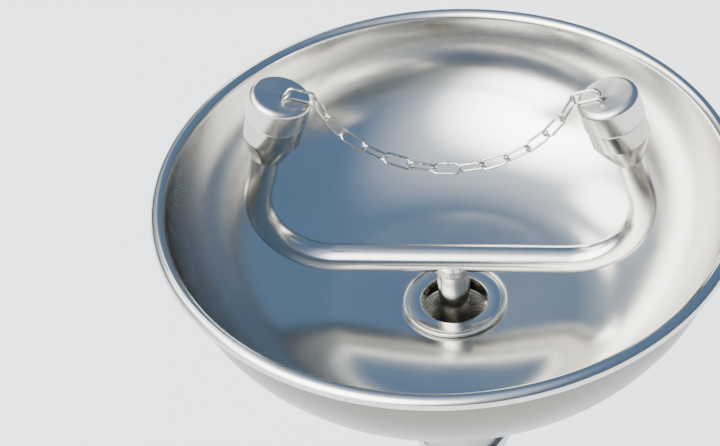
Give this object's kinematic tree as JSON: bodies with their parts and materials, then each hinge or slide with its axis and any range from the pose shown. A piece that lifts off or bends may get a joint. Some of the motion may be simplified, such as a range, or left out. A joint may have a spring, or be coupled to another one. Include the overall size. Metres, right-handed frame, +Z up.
{
  "type": "eyewash bowl unit",
  "caption": "Spun steel eyewash bowl on a central riser, with a U-shaped spray yoke, chained lift-off dust caps, a ring drain, a waste tee and a push-plate ball valve.",
  "frame": {"origin": "middle of the supply inlet's thread, at the bottom of the ball valve", "axes": "+Z up along the riser, +X to the user's right along the yoke's bar and the valve stem, -Y towards the user, +Y along the waste outlet"},
  "size_m": [0.372, 0.3, 0.3522],
  "materials": {
    "bowl_steel": "satin spun stainless steel",
    "tube_steel": "satin stainless steel",
    "cap_steel": "fine satin stainless steel",
    "chain_steel": "bright stainless steel",
    "weld_steel": "tinted weld metal, matt",
    "cast_steel": "blasted cast stainless steel",
    "fastener_steel": "machined stainless steel",
    "lever_steel": "brushed stainless steel",
    "ball_steel": "polished stainless steel",
    "black_rubber": "matt black rubber",
    "white_plastic": "matt moulded plastic",
    "seal_plastic": "waxy white sealing plastic",
    "black_screw": "black oxide"
  },
  "bodies": {
    "bowl_unit": {"bowl": "bowl_steel", "flange_seal": "black_rubber", "drain_flange": "bowl_steel", "drain_gasket": "black_rubber", "drain_washer": "fastener_steel", "drain_locknut": "fastener_steel", "waste_tee": "cast_steel", "gland_body": "fastener_steel", "gland_packing": "seal_plastic", "gland_nut": "fastener_steel", "riser": "tube_steel", "riser_weld": "weld_steel", "yoke": "tube_steel", "head_left": "tube_steel", "head_right": "tube_steel", "flow_disc_left": "white_plastic", "flow_disc_right": "white_plastic", "strainer_left": "chain_steel", "strainer_right": "chain_steel", "spray_plate_left": "chain_steel", "spray_plate_right": "chain_steel", "head_ring_left": "black_rubber", "head_ring_right": "black_rubber", "valve_body": "cast_steel", "valve_end": "cast_steel", "seat_upper": "seal_plastic", "seat_lower": "seal_plastic", "stem_packing": "seal_plastic", "stem_nut": "fastener_steel"},
    "dust_cap_left": {"cap_left": "cap_steel", "cap_eye_left": "chain_steel", "link_01": "chain_steel"},
    "dust_cap_right": {"cap_right": "cap_steel", "cap_eye_right": "chain_steel", "link_15": "chain_steel"},
    "chain_link_02": {"link_02": "chain_steel"},
    "chain_link_03": {"link_03": "chain_steel"},
    "chain_link_04": {"link_04": "chain_steel"},
    "chain_link_05": {"link_05": "chain_steel"},
    "chain_link_06": {"link_06": "chain_steel"},
    "chain_link_07": {"link_07": "chain_steel"},
    "chain_link_08": {"link_08": "chain_steel"},
    "chain_link_09": {"link_09": "chain_steel"},
    "chain_link_10": {"link_10": "chain_steel"},
    "chain_link_11": {"link_11": "chain_steel"},
    "chain_link_12": {"link_12": "chain_steel"},
    "chain_link_13": {"link_13": "chain_steel"},
    "chain_link_14": {"link_14": "chain_steel"},
    "push_lever": {"valve_ball": "ball_steel", "valve_stem": "lever_steel", "lever_hub": "lever_steel", "hub_screw": "black_screw", "lever_rod": "lever_steel", "push_plate": "lever_steel", "plate_screws": "fastener_steel", "plate_nuts": "fastener_steel"}
  },
  "joints": [
    {"name": "cap_left_lift", "type": "slide", "parent": "bowl_unit", "child": "dust_cap_left", "axis": [0.289, 0, 0.9573], "range_m": [0, 0.025]},
    {"name": "cap_right_lift", "type": "slide", "parent": "bowl_unit", "child": "dust_cap_right", "axis": [-0.289, 0, 0.9573], "range_m": [0, 0.025]},
    {"name": "link_02_turn", "type": "hinge", "parent": "dust_cap_left", "child": "chain_link_02", "pos_m": [-0.06326, -0.002, 0.33878], "axis": [0, -1, 0], "range_deg": [-12.65, 0]},
    {"name": "link_03_turn", "type": "hinge", "parent": "chain_link_02", "child": "chain_link_03", "pos_m": [-0.05715, -0.002, 0.32607], "axis": [0, -1, 0], "range_deg": [0, 2.11]},
    {"name": "link_04_turn", "type": "hinge", "parent": "chain_link_03", "child": "chain_link_04", "pos_m": [-0.05063, -0.002, 0.31721], "axis": [0, -1, 0], "range_deg": [0, 2.11]},
    {"name": "link_05_turn", "type": "hinge", "parent": "chain_link_04", "child": "chain_link_05", "pos_m": [-0.04029, -0.002, 0.30762], "axis": [0, -1, 0], "range_deg": [0, 2.11]},
    {"name": "link_06_turn", "type": "hinge", "parent": "chain_link_05", "child": "chain_link_06", "pos_m": [-0.03098, -0.002, 0.30176], "axis": [0, -1, 0], "range_deg": [0, 2.11]},
    {"name": "link_07_turn", "type": "hinge", "parent": "chain_link_06", "child": "chain_link_07", "pos_m": [-0.01786, -0.002, 0.29661], "axis": [0, -1, 0], "range_deg": [0, 2.11]},
    {"name": "link_08_turn", "type": "hinge", "parent": "chain_link_07", "child": "chain_link_08", "pos_m": [-0.00705, -0.002, 0.29456], "axis": [0, -1, 0], "range_deg": [0, 2.11]},
    {"name": "link_14_turn", "type": "hinge", "parent": "dust_cap_right", "child": "chain_link_14", "pos_m": [0.06326, -0.002, 0.33878], "axis": [0, -1, 0], "range_deg": [0, 12.65]},
    {"name": "link_13_turn", "type": "hinge", "parent": "chain_link_14", "child": "chain_link_13", "pos_m": [0.05715, -0.002, 0.32607], "axis": [0, -1, 0], "range_deg": [-2.11, 0]},
    {"name": "link_12_turn", "type": "hinge", "parent": "chain_link_13", "child": "chain_link_12", "pos_m": [0.05063, -0.002, 0.31721], "axis": [0, -1, 0], "range_deg": [-2.11, 0]},
    {"name": "link_11_turn", "type": "hinge", "parent": "chain_link_12", "child": "chain_link_11", "pos_m": [0.04029, -0.002, 0.30762], "axis": [0, -1, 0], "range_deg": [-2.11, 0]},
    {"name": "link_10_turn", "type": "hinge", "parent": "chain_link_11", "child": "chain_link_10", "pos_m": [0.03098, -0.002, 0.30176], "axis": [0, -1, 0], "range_deg": [-2.11, 0]},
    {"name": "link_09_turn", "type": "hinge", "parent": "chain_link_10", "child": "chain_link_09", "pos_m": [0.01786, -0.002, 0.29661], "axis": [0, -1, 0], "range_deg": [-2.11, 0]},
    {"name": "valve_turn", "type": "hinge", "parent": "bowl_unit", "child": "push_lever", "pos_m": [0, 0, 0.029], "axis": [-1, 0, 0], "range_deg": [0, 90]}
  ],
  "couplings": [
    {"joint": "cap_right_lift", "follows": "cap_left_lift", "ratio": 1},
    {"joint": "link_02_turn", "follows": "cap_left_lift", "rad_per_m": -8.657},
    {"joint": "link_03_turn", "follows": "cap_left_lift", "rad_per_m": 1.4428},
    {"joint": "link_04_turn", "follows": "cap_left_lift", "rad_per_m": 1.4428},
    {"joint": "link_05_turn", "follows": "cap_left_lift", "rad_per_m": 1.4428},
    {"joint": "link_06_turn", "follows": "cap_left_lift", "rad_per_m": 1.4428},
    {"joint": "link_07_turn", "follows": "cap_left_lift", "rad_per_m": 1.4428},
    {"joint": "link_08_turn", "follows": "cap_left_lift", "rad_per_m": 1.4428},
    {"joint": "link_14_turn", "follows": "cap_left_lift", "rad_per_m": 8.657},
    {"joint": "link_13_turn", "follows": "cap_left_lift", "rad_per_m": -1.4428},
    {"joint": "link_12_turn", "follows": "cap_left_lift", "rad_per_m": -1.4428},
    {"joint": "link_11_turn", "follows": "cap_left_lift", "rad_per_m": -1.4428},
    {"joint": "link_10_turn", "follows": "cap_left_lift", "rad_per_m": -1.4428},
    {"joint": "link_09_turn", "follows": "cap_left_lift", "rad_per_m": -1.4428}
  ]
}
